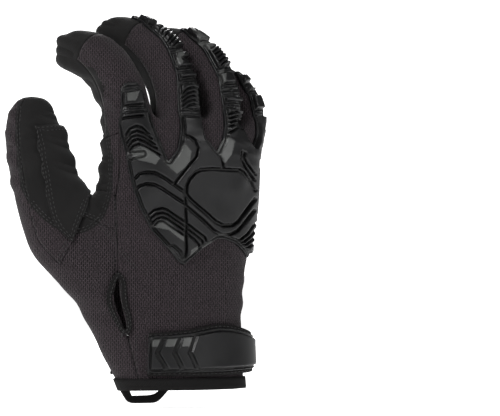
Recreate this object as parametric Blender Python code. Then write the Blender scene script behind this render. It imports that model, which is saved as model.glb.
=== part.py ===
"""Impact glove for the right hand, fingers up, back of the hand towards -Y and thumb towards -X.

The shell is a hollow of knit and suede panels around a half-closed hand. A rubber impact guard lies on
the back, a closed strap round the wrist, and suede patches on the palm and thumb. Metres, +Z up; the
origin is the centre of the wrist opening, at the hem.
"""

import math

import bmesh
import bpy
from mathutils import Matrix, Vector
from mathutils.bvhtree import BVHTree
from mathutils.geometry import delaunay_2d_cdt
from mathutils.interpolate import poly_3d_calc

# The hand that the glove fits: each of these can be set by itself.
PALM_LENGTH = 0.158
PALM_WIDTH = 0.106
PALM_DEPTH = 0.042
CUFF_WIDTH = 0.088
CUFF_DEPTH = 0.050
INDEX_LENGTH = 0.087
MIDDLE_LENGTH = 0.102
RING_LENGTH = 0.096
PINKY_LENGTH = 0.062
FINGER_WIDTH = 0.0295
FINGER_DEPTH = 0.034
THUMB_REACH = 0.121
THUMB_HEIGHT = 0.178
THUMB_DEPTH = 0.034

# Walls and fits.
KNIT_WALL = 0.0016
SUEDE_WALL = 0.0014
SEAM_GAP = 0.0004
LAY_GAP = 0.0007

# The opening slit on the back of the wrist, from its foot up, and the tapes bound over the slit and the hem.
SLIT_FOOT = 0.036
SLIT_LENGTH = 0.030
SLIT_WIDTH = 0.0045
TAPE_THICKNESS = 0.0011
SLIT_TAPE_WIDTH = 0.0035
SLIT_TAPE_LAP = 0.2 * SLIT_TAPE_WIDTH
HEM_TAPE_WIDTH = 0.0055

# The strap round the wrist and the rubber plate moulded on it.
STRAP_THICKNESS = 0.0016
STRAP_HEIGHT = 0.038
STRAP_STAND_OFF = 0.005
STRAP_ROWS = 4
PLATE_THICKNESS = 0.0022
PLATE_MARGIN = 0.075
PLATE_LAST_COLUMN = 11

# Suede patches, the patch that holds the pull loop, and the loop.
PATCH_THICKNESS = 0.0012
HEEL_THICKNESS = 0.0026
LOOP_THICKNESS = 0.0014
LOOP_GAP = 0.0009

# The impact guard: its sewn flange, and how proud its pads stand.
GUARD_GAP = 0.0018
FLANGE_THICKNESS = 0.0013
PAD_HEIGHT = 0.0027
PAD_SLOPE = 0.0011

# The widest triangle sides in the pieces that are cut from a flat pattern.
PATCH_SPACING = 0.007
PULL_SPACING = 0.005
LOOP_SPACING = 0.007
GUARD_SPACING = 0.0062
PAD_SPACING = 0.009

# How far outside the hand a line starts that drops a pattern onto it.
DROP = 0.2

KNIT_COLOUR = (0.030, 0.027, 0.028)
SUEDE_COLOUR = (0.010, 0.010, 0.010)
RUBBER_COLOUR = (0.020, 0.020, 0.021)
TAPE_COLOUR = (0.008, 0.008, 0.008)

# The hand is seen square on from these azimuths where a pattern is drawn on its back and on its palm.
BACK_AZIMUTH = -30.0
PALM_AZIMUTH = 150.0

BACK, PALM, GUSSET, THUMB, CUFF, THUMB_PATCHED = range(6)

# Rows round the hand from the hem up: height as a share of PALM_LENGTH; how far the row has grown from the
# cuff's section to the knuckles'; centre as shares of PALM_WIDTH and PALM_DEPTH; swell of the thumb side.
HAND_ROWS = (
    # height, growth, centre_x, centre_y, thumb_swell
    (0.000, 0.00, 0.000, 0.00, 0.00),
    (0.075, 0.02, -0.008, 0.02, 0.16),
    (0.190, 0.08, -0.014, 0.06, 0.42),
    (0.320, 0.22, -0.010, 0.08, 0.64),
    (0.450, 0.48, -0.005, 0.08, 0.40),
    (0.590, 0.80, 0.000, 0.06, 0.25),
    (0.735, 0.95, 0.000, 0.03, 0.12),
    (0.860, 1.00, 0.000, 0.00, 0.03),
)
THUMB_FIRST_ROW = 3
THUMB_LAST_ROW = 6
CUFF_SIDE_SHARE = 0.82
HAND_SIDE_SHARE = 0.90
ARCH = 0.22

# The guard's pattern is measured round a line inside the palm, and turns up the fingers at the knuckles, where
# it is measured at a share of the finger's depth from its centre.
CHART_AXIS = (0.038 * PALM_WIDTH, 1.19 * PALM_DEPTH)
CHART_RADIUS = 0.613 * PALM_WIDTH
CHART_KNUCKLES = 1.044 * PALM_LENGTH
CHART_BLEND = 0.05 * PALM_LENGTH
FINGER_RADIUS = 0.46

# Where the fingers leave the hand: a row for each finger, its root as shares of PALM_WIDTH and PALM_DEPTH,
# which way its back faces, how far it swings to the thumb as it curls, and its curl in degrees.
FINGERS = (
    # name, length, root_x, root_y, facing, swing, curl, girth
    ("index", INDEX_LENGTH, -0.330, 0.10, -10.0, 26.0, 91.0, 1.09),
    ("middle", MIDDLE_LENGTH, -0.030, -0.06, 0.0, 26.0, 89.0, 1.02),
    ("ring", RING_LENGTH, 0.250, -0.06, 12.0, 28.0, 92.0, 0.93),
    ("pinky", PINKY_LENGTH, 0.465, 0.20, 28.0, 34.0, 92.0, 0.80),
)
# Heights of the crotches and outer corners as shares of PALM_LENGTH, from the thumb side to the little
# finger's outer side, on the back, halfway through, and on the palm.
CROTCHES = (
    # back, middle, palm
    (0.985, 0.955, 0.930),
    (1.035, 0.975, 0.950),
    (1.035, 0.975, 0.935),
    (0.995, 0.935, 0.890),
    (0.930, 0.880, 0.850),
)
# Sections of a finger: place along it, share of its curl there, width and depth as shares of its girth.
FINGER_ROWS = (
    # along, curl, width, depth
    (0.00, 0.00, 0.98, 1.00),
    (0.15, 0.08, 0.98, 1.03),
    (0.34, 0.28, 0.97, 0.98),
    (0.52, 0.53, 0.99, 0.96),
    (0.69, 0.76, 0.95, 0.88),
    (0.83, 0.91, 0.90, 0.80),
    (0.95, 0.99, 0.72, 0.60),
    (1.00, 1.00, 0.00, 0.00),
)
ROOT_HEIGHT = 0.965
TIP_ROW = 4

# Sections of the thumb from its root up: its outer and inner edges as shares of THUMB_REACH out from the
# wrist's centre and of THUMB_HEIGHT up, its centre forward as a share of THUMB_REACH, and its depth.
THUMB_ROWS = (
    # outer_out, outer_up, inner_out, inner_up, forward, depth
    (0.725, 0.385, 0.491, 0.663, 0.083, 1.12),
    (0.815, 0.462, 0.499, 0.682, 0.120, 1.10),
    (0.840, 0.577, 0.509, 0.710, 0.160, 1.04),
    (0.856, 0.680, 0.522, 0.757, 0.195, 0.99),
    (0.875, 0.787, 0.541, 0.812, 0.220, 0.95),
    (0.874, 0.876, 0.564, 0.888, 0.238, 0.88),
    (0.855, 0.938, 0.602, 0.941, 0.246, 0.76),
    (0.796, 0.983, 0.658, 0.983, 0.250, 0.50),
)


def mix(a, b, share):
    return a + (b - a) * share


def section(growth, centre_x, centre_y, swell):
    """One row round the hand: nine points over the back, one on the outer side, nine over the palm, one
    on the thumb side, as (x, y) pairs."""
    half = 0.5 * mix(CUFF_WIDTH, PALM_WIDTH, growth)
    depth = 0.5 * mix(CUFF_DEPTH, PALM_DEPTH, growth)
    squareness = mix(2.1, 2.6, growth)
    middle = Vector((centre_x * PALM_WIDTH, centre_y * PALM_DEPTH))
    points = []
    for side in (-1, 1):
        order = range(9) if side < 0 else range(8, -1, -1)
        for step in order:
            share = mix(CUFF_SIDE_SHARE, HAND_SIDE_SHARE, growth) * (step / 4 - 1)
            rise = (1 - abs(share) ** squareness) ** (1 / squareness)
            bow = ARCH * growth * (share * share) * depth
            y = side * depth * rise + bow
            x = half * share
            spread = swell * PALM_DEPTH * max(-share, 0)
            x -= 0.15 * spread
            if side > 0:
                x -= 0.2 * spread
                y += 0.6 * spread
            points.append(middle + Vector((x, y)))
        bow = ARCH * growth * depth
        outward = half * (1 if side < 0 else -1)
        spread = swell * PALM_DEPTH if side > 0 else 0.0
        points.append(middle + Vector((outward - spread, bow + 0.3 * spread)))
    return points


def finger_frames(finger):
    """Centre, back direction, across direction, width and depth at each section of a finger, root first."""
    name, length, root_x, root_y, facing, swing, curl, girth = finger
    swing = math.radians(swing)
    forward = Vector((-math.sin(swing), math.cos(swing), 0))
    up = Vector((0, 0, 1))
    centre = Vector((root_x * PALM_WIDTH, root_y * PALM_DEPTH, ROOT_HEIGHT * PALM_LENGTH))
    frames = []
    last_along, last_curl = 0.0, 0.0
    for along, curl_share, width, depth in FINGER_ROWS:
        bend = math.radians(curl * 0.5 * (last_curl + curl_share))
        centre = centre + (along - last_along) * length * (math.cos(bend) * up + math.sin(bend) * forward)
        here = math.radians(curl * curl_share)
        tangent = math.cos(here) * up + math.sin(here) * forward
        twist = (math.radians(facing) - swing) * (1 - curl_share)
        back = Matrix.Rotation(twist, 3, tangent) @ (math.sin(here) * up - math.cos(here) * forward)
        across = tangent.cross(back)
        frames.append((centre, back, across, width * girth * FINGER_WIDTH, depth * girth * FINGER_DEPTH))
        last_along, last_curl = along, curl_share
    return frames


def make_shell_cage():
    """The control cage of the whole outer surface, open at the hem, with the panel of each face."""
    cage = bmesh.new()
    rows = []
    for height, growth, centre_x, centre_y, swell in HAND_ROWS:
        ring = section(growth, centre_x, centre_y, swell)
        rows.append([cage.verts.new((p.x, p.y, height * PALM_LENGTH)) for p in ring])

    # The top row carries the finger crotches.
    top = section(1.0, 0.0, 0.0, 0.0)
    ring = []
    for step in range(9):
        back_height, _, palm_height = crotch_heights(step)
        p = top[step]
        ring.append(cage.verts.new((p.x, p.y, back_height * PALM_LENGTH)))
    ring.append(cage.verts.new((top[9].x, top[9].y, CROTCHES[4][1] * PALM_LENGTH)))
    for step in range(8, -1, -1):
        back_height, _, palm_height = crotch_heights(step)
        p = top[18 - step]
        ring.append(cage.verts.new((p.x, p.y, palm_height * PALM_LENGTH)))
    ring.append(cage.verts.new((top[19].x, top[19].y, CROTCHES[0][1] * PALM_LENGTH)))
    rows.append(ring)

    for low in range(len(rows) - 1):
        for step in range(20):
            if THUMB_FIRST_ROW <= low < THUMB_LAST_ROW and step in (18, 19):
                continue
            after = (step + 1) % 20
            face = cage.faces.new(
                (rows[low][step], rows[low][after], rows[low + 1][after], rows[low + 1][step])
            )
            face.material_index = hand_panel(low, step)

    crotch = [ring[19]]
    for number in range(1, 4):
        back, palm = ring[2 * number], ring[18 - 2 * number]
        middle = (back.co + palm.co) / 2
        crotch.append(cage.verts.new((middle.x, middle.y, CROTCHES[number][1] * PALM_LENGTH)))
    crotch.append(ring[9])

    for number, finger in enumerate(FINGERS):
        base = [ring[2 * number + k] for k in range(3)] + [crotch[number + 1]]
        base += [ring[16 - 2 * number + k] for k in range(3)] + [crotch[number]]
        add_finger(cage, base, finger_frames(finger))

    add_thumb(cage, rows)
    return cage


def crotch_heights(step):
    """Heights at one of the nine points across, eased between the crotches and raised over each finger."""
    low = CROTCHES[step // 2]
    if step % 2 == 0:
        return low
    high = CROTCHES[step // 2 + 1]
    return tuple((a + b) / 2 for a, b in zip(low, high))


def hand_panel(low, step):
    if step < 8:
        return BACK
    if step < 10:
        return BACK if step == 8 else PALM if low > 1 else CUFF
    if step < 18:
        return PALM if low > 1 else CUFF
    if low >= THUMB_LAST_ROW:
        return PALM
    return GUSSET


def add_finger(cage, base, frames):
    """Joins the sections of a finger to its eight base points and closes the tip."""
    below = base
    for row, (centre, back, across, width, depth) in enumerate(frames[1:-1]):
        w, d = 0.5 * width, 0.5 * depth
        places = (
            (-0.74, 0.86), (0.0, 1.0), (0.74, 0.86), (1.0, 0.0),
            (0.74, -0.86), (0.0, -1.0), (-0.74, -0.86), (-1.0, 0.0),
        )
        ring = [cage.verts.new(centre + across * (w * a) + back * (d * b)) for a, b in places]
        for k in range(8):
            face = cage.faces.new((below[k], below[(k + 1) % 8], ring[(k + 1) % 8], ring[k]))
            on_back = k in (0, 1, 2, 7)
            face.material_index = BACK if on_back and row < TIP_ROW else PALM
        below = ring
    tip = cage.verts.new(frames[-1][0])
    for k in (7, 1, 3, 5):
        face = cage.faces.new((below[k], below[(k + 1) % 8], below[(k + 2) % 8], tip))
        face.material_index = PALM


def add_thumb(cage, rows):
    """Joins the sections of the thumb to the ten points of its opening in the thumb side."""
    first, last = THUMB_FIRST_ROW, THUMB_LAST_ROW
    base = [rows[last][19]] + [rows[r][0] for r in range(last, first - 1, -1)]
    base += [rows[first][19]] + [rows[r][18] for r in range(first, last + 1)]
    edges = []
    for outer_out, outer_up, inner_out, inner_up, forward, depth in THUMB_ROWS:
        y = forward * THUMB_REACH
        outer = Vector((-outer_out * THUMB_REACH, y, outer_up * THUMB_HEIGHT))
        inner = Vector((-inner_out * THUMB_REACH, y, inner_up * THUMB_HEIGHT))
        edges.append((outer, inner))
    centres = [(outer + inner) / 2 for outer, inner in edges]
    below = base
    for row, (outer, inner) in enumerate(edges):
        depth = THUMB_ROWS[row][5]
        half = (inner - outer) / 2
        ahead = centres[min(row + 1, len(centres) - 1)]
        tangent = (ahead - centres[max(row - 1, 0)]).normalized()
        back = half.cross(tangent).normalized()
        if back.y > 0:
            back = -back
        ring = []
        for k in range(10):
            angle = math.radians(36 * k)
            a, b = math.cos(angle), math.sin(angle)
            stretch = (abs(a) ** 2.5 + abs(b) ** 2.5) ** (-1 / 2.5)
            offset = half * (a * stretch) + back * (0.5 * depth * THUMB_DEPTH * b * stretch)
            ring.append(cage.verts.new(centres[row] + offset))
        for k in range(10):
            face = cage.faces.new((below[k], ring[k], ring[(k + 1) % 10], below[(k + 1) % 10]))
            face.material_index = thumb_panel_at(row, k)
        below = ring
    tip = cage.verts.new(centres[-1] + Vector((0, 0, 0.015 * THUMB_HEIGHT)))
    for k in (0, 2, 4, 6, 8):
        face = cage.faces.new((below[k], tip, below[(k + 2) % 10], below[(k + 1) % 10]))
        face.material_index = THUMB


def thumb_panel_at(row, k):
    if k in (4, 5) or row < 1 and k in (2, 3, 6):
        return GUSSET
    return THUMB_PATCHED if k < 3 and 1 <= row <= 5 else THUMB


class Skin:
    """The shell's outer surface: its points, smoothed normals and panels, and ways to lay a pattern on it."""

    def __init__(self, cage):
        mesh = bpy.data.meshes.new("cage")
        cage.to_mesh(mesh)
        cage.free()
        source = bpy.data.objects.new("cage", mesh)
        bpy.context.scene.collection.objects.link(source)
        smooth = source.modifiers.new("smooth", "SUBSURF")
        smooth.levels = smooth.render_levels = 1
        graph = bpy.context.evaluated_depsgraph_get()
        evaluated = source.evaluated_get(graph).to_mesh()
        self.bm = bmesh.new()
        self.bm.from_mesh(evaluated)
        bpy.data.objects.remove(source, do_unlink=True)
        self.bm.normal_update()
        self.bm.faces.ensure_lookup_table()
        self.bm.verts.ensure_lookup_table()
        self.tree = BVHTree.FromBMesh(self.bm)
        self.rails = [finger_rail(finger) for finger in FINGERS]

    def cast(self, origin, direction):
        """Where a ray meets the surface, with the smoothed normal there."""
        place, _, index, _ = self.tree.ray_cast(origin, direction)
        if place is None:
            place, _, index, _ = self.tree.find_nearest(origin + DROP * direction)
        corners = self.bm.faces[index].verts
        weights = poly_3d_calc([v.co for v in corners], place)
        normal = sum((v.normal * w for v, w in zip(corners, weights)), Vector())
        return place, normal.normalized()

    def on_view(self, azimuth, across, height):
        """The point seen at (across, height) by an eye at this azimuth, square to the hand."""
        turn = math.radians(azimuth)
        right = Vector((math.cos(turn), math.sin(turn), 0))
        ahead = Vector((-math.sin(turn), math.cos(turn), 0))
        return self.cast(right * across + Vector((0, 0, height)) - ahead * DROP, ahead)

    def round_wrist(self, degrees, height):
        """The point at an angle round the wrist, 0 at the middle of the back and 90 on the outer side."""
        turn = math.radians(degrees)
        outward = Vector((math.sin(turn), -math.cos(turn), 0))
        return self.cast(outward * DROP + Vector((0, 0, height)), -outward)

    def on_back(self, across, along):
        """The point of the back and the fingers' backs at guard-pattern coordinates: across is a share of
        PALM_WIDTH, and along is 0 at the hem, 1 at the knuckles and 2 a finger's length past them."""
        across *= PALM_WIDTH
        turn = across / CHART_RADIUS
        outward = Vector((math.sin(turn), -math.cos(turn), 0))
        axis = Vector((*CHART_AXIS, 0))
        rail = min(self.rails, key=lambda r: abs(r[0] - across))
        past = (along - 1) * (rail[2] if along > 1 else CHART_KNUCKLES)
        above = axis + outward * DROP + Vector((0, 0, CHART_KNUCKLES + past))
        place, normal = self.cast(above, -outward)
        if past <= -CHART_BLEND:
            return place, normal
        origin, direction = over_finger(rail, across, past)
        on_finger, finger_normal = self.cast(origin, direction)
        share = min((past + CHART_BLEND) / (2 * CHART_BLEND), 1)
        share = share * share * (3 - 2 * share)
        outward = normal.lerp(finger_normal, share).normalized()
        return self.cast(place.lerp(on_finger, share) + outward * 0.01, -outward)


def over_finger(rail, across, past):
    """A ray down onto the back of a finger, at an arc length past the knuckles and one round the finger."""
    for before, after in zip(rail[1], rail[1][1:]):
        start, centre_a, back_a, side_a, radius = before
        end, centre_b, back_b, side_b, _ = after
        if past <= end:
            break
    share = (past - start) / (end - start)
    turn = (across - rail[0]) / radius
    back, side = back_a.lerp(back_b, share), side_a.lerp(side_b, share)
    outward = (back * math.cos(turn) + side * math.sin(turn)).normalized()
    return centre_a.lerp(centre_b, share) + outward * 0.04, -outward


def finger_rail(finger):
    """Where the finger's back crosses the guard pattern, its centres and radii by the arc length along its
    back, and its length."""
    frames = finger_frames(finger)[:-1]
    first = frames[0][0] + frames[0][1] * (FINGER_RADIUS * frames[0][4])
    crossing = CHART_RADIUS * math.atan2(first.x - CHART_AXIS[0], CHART_AXIS[1] - first.y)
    start = first.z - CHART_KNUCKLES
    foot = frames[0][0] - Vector((0, 0, 0.02))
    rail = [(start - 0.02, foot, frames[0][1], frames[0][2], FINGER_RADIUS * frames[0][4])]
    last = first
    for centre, back, across, _, depth in frames:
        place = centre + back * (FINGER_RADIUS * depth)
        start += (place - last).length
        rail.append((start, centre, back, across, FINGER_RADIUS * depth))
        last = place
    return crossing, rail, finger[1]


def panel_solid(skin, panels, wall, slit_side=0):
    """A panel of the shell as a closed wall, its edges drawn back by half the seam's gap, and further along
    the slit."""
    inside = {face for face in skin.bm.faces if face.material_index in panels}
    bm = bmesh.new()
    outer, inner = {}, {}
    for vert in skin.bm.verts:
        mine = [face for face in vert.link_faces if face in inside]
        if not mine:
            continue
        place = vert.co.copy()
        rims = [edge for edge in vert.link_edges if sum(f in inside for f in edge.link_faces) == 1]
        if rims and not all(edge.is_boundary for edge in rims):
            place += edge_shift(vert, rims, mine, slit_side)
        outer[vert] = bm.verts.new(place)
        inner[vert] = bm.verts.new(place - vert.normal * wall)
    for face in inside:
        bm.faces.new([outer[v] for v in face.verts])
        bm.faces.new([inner[v] for v in reversed(face.verts)])
        for loop in face.loops:
            if sum(f in inside for f in loop.edge.link_faces) == 1:
                a, b = loop.vert, loop.link_loop_next.vert
                bm.faces.new((outer[b], outer[a], inner[a], inner[b]))
    return bm


def edge_shift(vert, rims, mine, slit_side):
    """How far a point on a panel's edge draws back: half the gap square to each seam that meets there, and
    nothing along the open hem."""
    gap = SEAM_GAP / 2
    if slit_side and on_slit_seam(vert):
        gap += slit_opening(vert.co.z) / 2
    pulls = []
    for edge in rims:
        face = next(f for f in edge.link_faces if f in mine)
        run = (edge.other_vert(vert).co - vert.co).normalized()
        away = run.cross(vert.normal).normalized()
        if away.dot(face.calc_center_median() - vert.co) < 0:
            away = -away
        pulls.append((away, 0.0 if edge.is_boundary else gap))
    (first, gap_a), (second, gap_b) = pulls[0], pulls[-1]
    turn = first.dot(second)
    spread = 1 - turn * turn
    if spread < 0.05:
        return (first * gap_a + second * gap_b) / 2
    return (first * (gap_a - turn * gap_b) + second * (gap_b - turn * gap_a)) / spread


def on_slit_seam(vert):
    panels = {face.material_index for face in vert.link_faces}
    return BACK in panels and GUSSET in panels


def slit_opening(height):
    share = (height - SLIT_FOOT) / SLIT_LENGTH
    if not 0 < share < 1:
        return 0.0
    return SLIT_WIDTH * math.sin(math.pi * share) ** 0.7


def grid_solid(columns, low, high, closed=False):
    """A closed slab from a grid of (point, normal) pairs, between two heights above the surface."""
    bm = bmesh.new()
    bottom = [[bm.verts.new(p + n * low) for p, n in column] for column in columns]
    top = [[bm.verts.new(p + n * high) for p, n in column] for column in columns]
    count = len(columns) - (0 if closed else 1)
    for i in range(count):
        j = (i + 1) % len(columns)
        for k in range(len(columns[0]) - 1):
            bm.faces.new((top[i][k], top[j][k], top[j][k + 1], top[i][k + 1]))
            bm.faces.new((bottom[i][k], bottom[i][k + 1], bottom[j][k + 1], bottom[j][k]))
        bm.faces.new((bottom[i][0], bottom[j][0], top[j][0], top[i][0]))
        bm.faces.new((bottom[j][-1], bottom[i][-1], top[i][-1], top[j][-1]))
    if not closed:
        for k in range(len(columns[0]) - 1):
            bm.faces.new((bottom[0][k], top[0][k], top[0][k + 1], bottom[0][k + 1]))
            bm.faces.new((bottom[-1][k], bottom[-1][k + 1], top[-1][k + 1], top[-1][k]))
    bmesh.ops.recalc_face_normals(bm, faces=bm.faces)
    return bm


def pattern_solid(lay, outline, low, high, spacing, hole=None):
    """A flat pattern piece laid on the surface: the outline filled with triangles no wider than the spacing,
    each point placed by lay, and given its thickness between two heights."""
    loops = [resample(outline, spacing)]
    if hole:
        loops.append(resample(hole, spacing))
    points, edges, faces = [], [], []
    for loop in loops:
        start = len(points)
        points += loop
        edges += [(start + i, start + (i + 1) % len(loop)) for i in range(len(loop))]
        faces.append(list(range(start, start + len(loop))))
    xs, ys = [p[0] for p in points], [p[1] for p in points]
    across = max(int((max(xs) - min(xs)) / spacing), 1)
    for i in range(1, across):
        x = mix(min(xs), max(xs), i / across)
        rows = max(int((max(ys) - min(ys)) / spacing), 1)
        for j in range(1, rows):
            y = mix(min(ys), max(ys), (j + 0.5 * (i % 2)) / rows)
            if clear_inside((x, y), loops, 0.45 * spacing):
                points.append((x, y))
    flat = [Vector(p) for p in points]
    verts, _, triangles, _, _, _ = delaunay_2d_cdt(flat, edges, faces[:1], 1, 1e-7)
    if hole:
        kept = []
        for triangle in triangles:
            centre = sum((verts[i] for i in triangle), Vector((0, 0))) / 3
            if not inside_loop(centre, loops[1]):
                kept.append(triangle)
        triangles = kept
    used = sorted({i for triangle in triangles for i in triangle})
    bm = bmesh.new()
    bottom, top = {}, {}
    for i in used:
        place, normal = lay(verts[i].x, verts[i].y)
        bottom[i] = bm.verts.new(place + normal * low)
        top[i] = bm.verts.new(place + normal * high)
    for triangle in triangles:
        bm.faces.new([top[i] for i in triangle])
        bm.faces.new([bottom[i] for i in reversed(triangle)])
    for edge in [e for e in bm.edges if e.is_boundary and e.verts[0] in set(top.values())]:
        a, b = edge.verts
        a_low = bottom[next(i for i in used if top[i] is a)]
        b_low = bottom[next(i for i in used if top[i] is b)]
        bm.faces.new((a, b, b_low, a_low))
    bmesh.ops.recalc_face_normals(bm, faces=bm.faces)
    return bm


def resample(outline, spacing):
    """The outline with points added so that no side is longer than the spacing."""
    points = []
    for start, end in zip(outline, outline[1:] + outline[:1]):
        start, end = Vector(start), Vector(end)
        count = max(math.ceil((end - start).length / spacing), 1)
        points += [tuple(start.lerp(end, i / count)) for i in range(count)]
    return points


def inside_loop(point, loop):
    crossings = 0
    for (x0, y0), (x1, y1) in zip(loop, loop[1:] + loop[:1]):
        if (y0 > point[1]) != (y1 > point[1]):
            crossings += point[0] < x0 + (point[1] - y0) / (y1 - y0) * (x1 - x0)
    return crossings % 2 == 1


def clear_inside(point, loops, margin):
    """Whether the point lies inside the outline and outside the hole, clear of both."""
    if not inside_loop(point, loops[0]) or len(loops) > 1 and inside_loop(point, loops[1]):
        return False
    return all((Vector(point) - Vector(corner)).length > margin for loop in loops for corner in loop)


def new_object(name, mesh_source, colour, roughness):
    mesh = bpy.data.meshes.new(name)
    mesh_source.to_mesh(mesh)
    mesh_source.free()
    mesh.shade_smooth()
    obj = bpy.data.objects.new(name, mesh)
    bpy.context.scene.collection.objects.link(obj)
    material = bpy.data.materials.new(name)
    material.use_nodes = True
    shader = material.node_tree.nodes["Principled BSDF"]
    shader.inputs["Base Color"].default_value = (*colour, 1)
    shader.inputs["Roughness"].default_value = roughness
    mesh.materials.append(material)
    return obj


def overlay_solid(skin, panel, low, high):
    """A patch laid over the faces of one panel, between two heights above them."""
    inside = {face for face in skin.bm.faces if face.material_index == panel}
    bm = bmesh.new()
    bottom, top = {}, {}
    for vert in {v for face in inside for v in face.verts}:
        bottom[vert] = bm.verts.new(vert.co + vert.normal * low)
        top[vert] = bm.verts.new(vert.co + vert.normal * high)
    for face in inside:
        bm.faces.new([top[v] for v in face.verts])
        bm.faces.new([bottom[v] for v in reversed(face.verts)])
        for loop in face.loops:
            if sum(f in inside for f in loop.edge.link_faces) == 1:
                a, b = loop.vert, loop.link_loop_next.vert
                bm.faces.new((top[b], top[a], bottom[a], bottom[b]))
    return bm


def build_shell(skin):
    new_object("back_panel", panel_solid(skin, {BACK}, KNIT_WALL, 1), KNIT_COLOUR, 0.9)
    new_object("palm_panel", panel_solid(skin, {PALM}, SUEDE_WALL), SUEDE_COLOUR, 0.95)
    new_object("thumb_gusset", panel_solid(skin, {GUSSET}, KNIT_WALL, 1), KNIT_COLOUR, 0.9)
    new_object("thumb_panel", panel_solid(skin, {THUMB, THUMB_PATCHED}, SUEDE_WALL), SUEDE_COLOUR, 0.95)
    new_object("cuff_panel", panel_solid(skin, {CUFF}, KNIT_WALL), KNIT_COLOUR, 0.9)


def build_hem_tape(skin):
    """A tape folded round the hem, inside and out."""
    rim = {v for v in skin.bm.verts if v.is_boundary}
    ring = [min(rim, key=lambda v: v.co.y)]
    while True:
        onward = [e.other_vert(ring[-1]) for e in ring[-1].link_edges if e.is_boundary]
        onward = [v for v in onward if v not in ring]
        if not onward:
            break
        ring.append(onward[0])
    inside = -KNIT_WALL - SEAM_GAP
    below = -SEAM_GAP - TAPE_THICKNESS
    profile = (
        (SEAM_GAP, HEM_TAPE_WIDTH), (SEAM_GAP + TAPE_THICKNESS, HEM_TAPE_WIDTH),
        (SEAM_GAP + TAPE_THICKNESS, below), (inside - TAPE_THICKNESS, below),
        (inside - TAPE_THICKNESS, HEM_TAPE_WIDTH), (inside, HEM_TAPE_WIDTH),
        (inside, -SEAM_GAP), (SEAM_GAP, -SEAM_GAP),
    )
    bm = bmesh.new()
    hoops = []
    for vert in ring:
        above = max((e.other_vert(vert) for e in vert.link_edges), key=lambda v: v.co.z)
        hoop = []
        for out, height in profile:
            share = max(height, 0) / above.co.z
            place = vert.co.lerp(above.co, share) + vert.normal.lerp(above.normal, share) * out
            hoop.append(bm.verts.new(place + Vector((0, 0, min(height, 0)))))
        hoops.append(hoop)
    for here, there in zip(hoops, hoops[1:] + hoops[:1]):
        for k, after in enumerate([*range(1, len(profile)), 0]):
            bm.faces.new((here[k], there[k], there[after], here[after]))
    bmesh.ops.recalc_face_normals(bm, faces=bm.faces)
    new_object("hem_tape", bm, TAPE_COLOUR, 0.9)


def build_slit_tape(skin):
    """A tape bound round the opening slit."""
    seam = sorted((v.co.copy() for v in skin.bm.verts if on_slit_seam(v)), key=lambda p: p.z)
    columns = []
    for turn in range(0, 360, 20):
        angle = math.radians(turn)
        column = []
        for reach in (SLIT_TAPE_LAP, SLIT_TAPE_LAP + SLIT_TAPE_WIDTH):
            height = SLIT_FOOT + SLIT_LENGTH / 2 + (SLIT_LENGTH / 2 + reach) * math.sin(angle)
            above = next(i for i, p in enumerate(seam) if p.z > height)
            low, high = seam[above - 1], seam[above]
            middle = low.lerp(high, (height - low.z) / (high.z - low.z))
            outward = Vector((middle.x, middle.y, 0)).normalized()
            _, normal = skin.cast(middle + outward * 0.5 * PALM_DEPTH, -outward)
            sideways = Vector((-normal.y, normal.x, 0)).normalized()
            place = middle + sideways * (0.5 * SLIT_WIDTH + reach) * math.cos(angle)
            column.append(skin.cast(place + normal * 0.02, -normal))
        columns.append(column)
    new_object("slit_tape", grid_solid(columns, LAY_GAP, LAY_GAP + TAPE_THICKNESS, True), TAPE_COLOUR, 0.9)


# Outlines of the strap and of the plate on it, by the angle round the wrist: foot and head as shares of
# STRAP_HEIGHT above the hem, and how far the end stands off the wrist as a share of STRAP_STAND_OFF.
STRAP_COLUMNS = (
    # angle, foot, head, stand_off
    (-63.0, 0.20, 0.87, 0.0),
    (-48.0, 0.19, 0.88, 0.0),
    (-32.0, 0.19, 0.90, 0.0),
    (-16.0, 0.18, 0.92, 0.0),
    (0.0, 0.18, 0.95, 0.0),
    (16.0, 0.18, 0.98, 0.0),
    (31.0, 0.18, 1.00, 0.0),
    (46.0, 0.19, 0.99, 0.1),
    (60.0, 0.20, 0.95, 0.3),
    (72.0, 0.21, 0.89, 0.6),
    (82.0, 0.23, 0.84, 0.9),
    (92.0, 0.27, 0.80, 1.0),
    (101.0, 0.36, 0.72, 1.0),
)


def build_strap(skin):
    """The closed strap from beside the slit round the outer side of the wrist, and the rubber plate on it."""
    places = []
    for angle, foot, head, stand_off in STRAP_COLUMNS:
        column = []
        for k in range(STRAP_ROWS + 1):
            height = mix(foot, head, k / STRAP_ROWS) * STRAP_HEIGHT
            place, normal = skin.round_wrist(angle, height)
            column.append((place + normal * (stand_off * STRAP_STAND_OFF), normal))
        places.append(column)
    new_object("wrist_strap", grid_solid(places, LAY_GAP, LAY_GAP + STRAP_THICKNESS), TAPE_COLOUR, 0.9)
    plate = []
    for column in places[:PLATE_LAST_COLUMN + 1]:
        foot, head = column[0][0], column[-1][0]
        inner = [(place, normal) for place, normal in column[1:-1]]
        first = (foot.lerp(column[1][0], STRAP_ROWS * PLATE_MARGIN), column[0][1])
        last = (head.lerp(column[-2][0], STRAP_ROWS * PLATE_MARGIN), column[-1][1])
        plate.append([first] + inner + [last])
    low = LAY_GAP + STRAP_THICKNESS + SEAM_GAP
    new_object("strap_plate", grid_solid(plate, low, low + PLATE_THICKNESS), RUBBER_COLOUR, 0.5)


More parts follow.
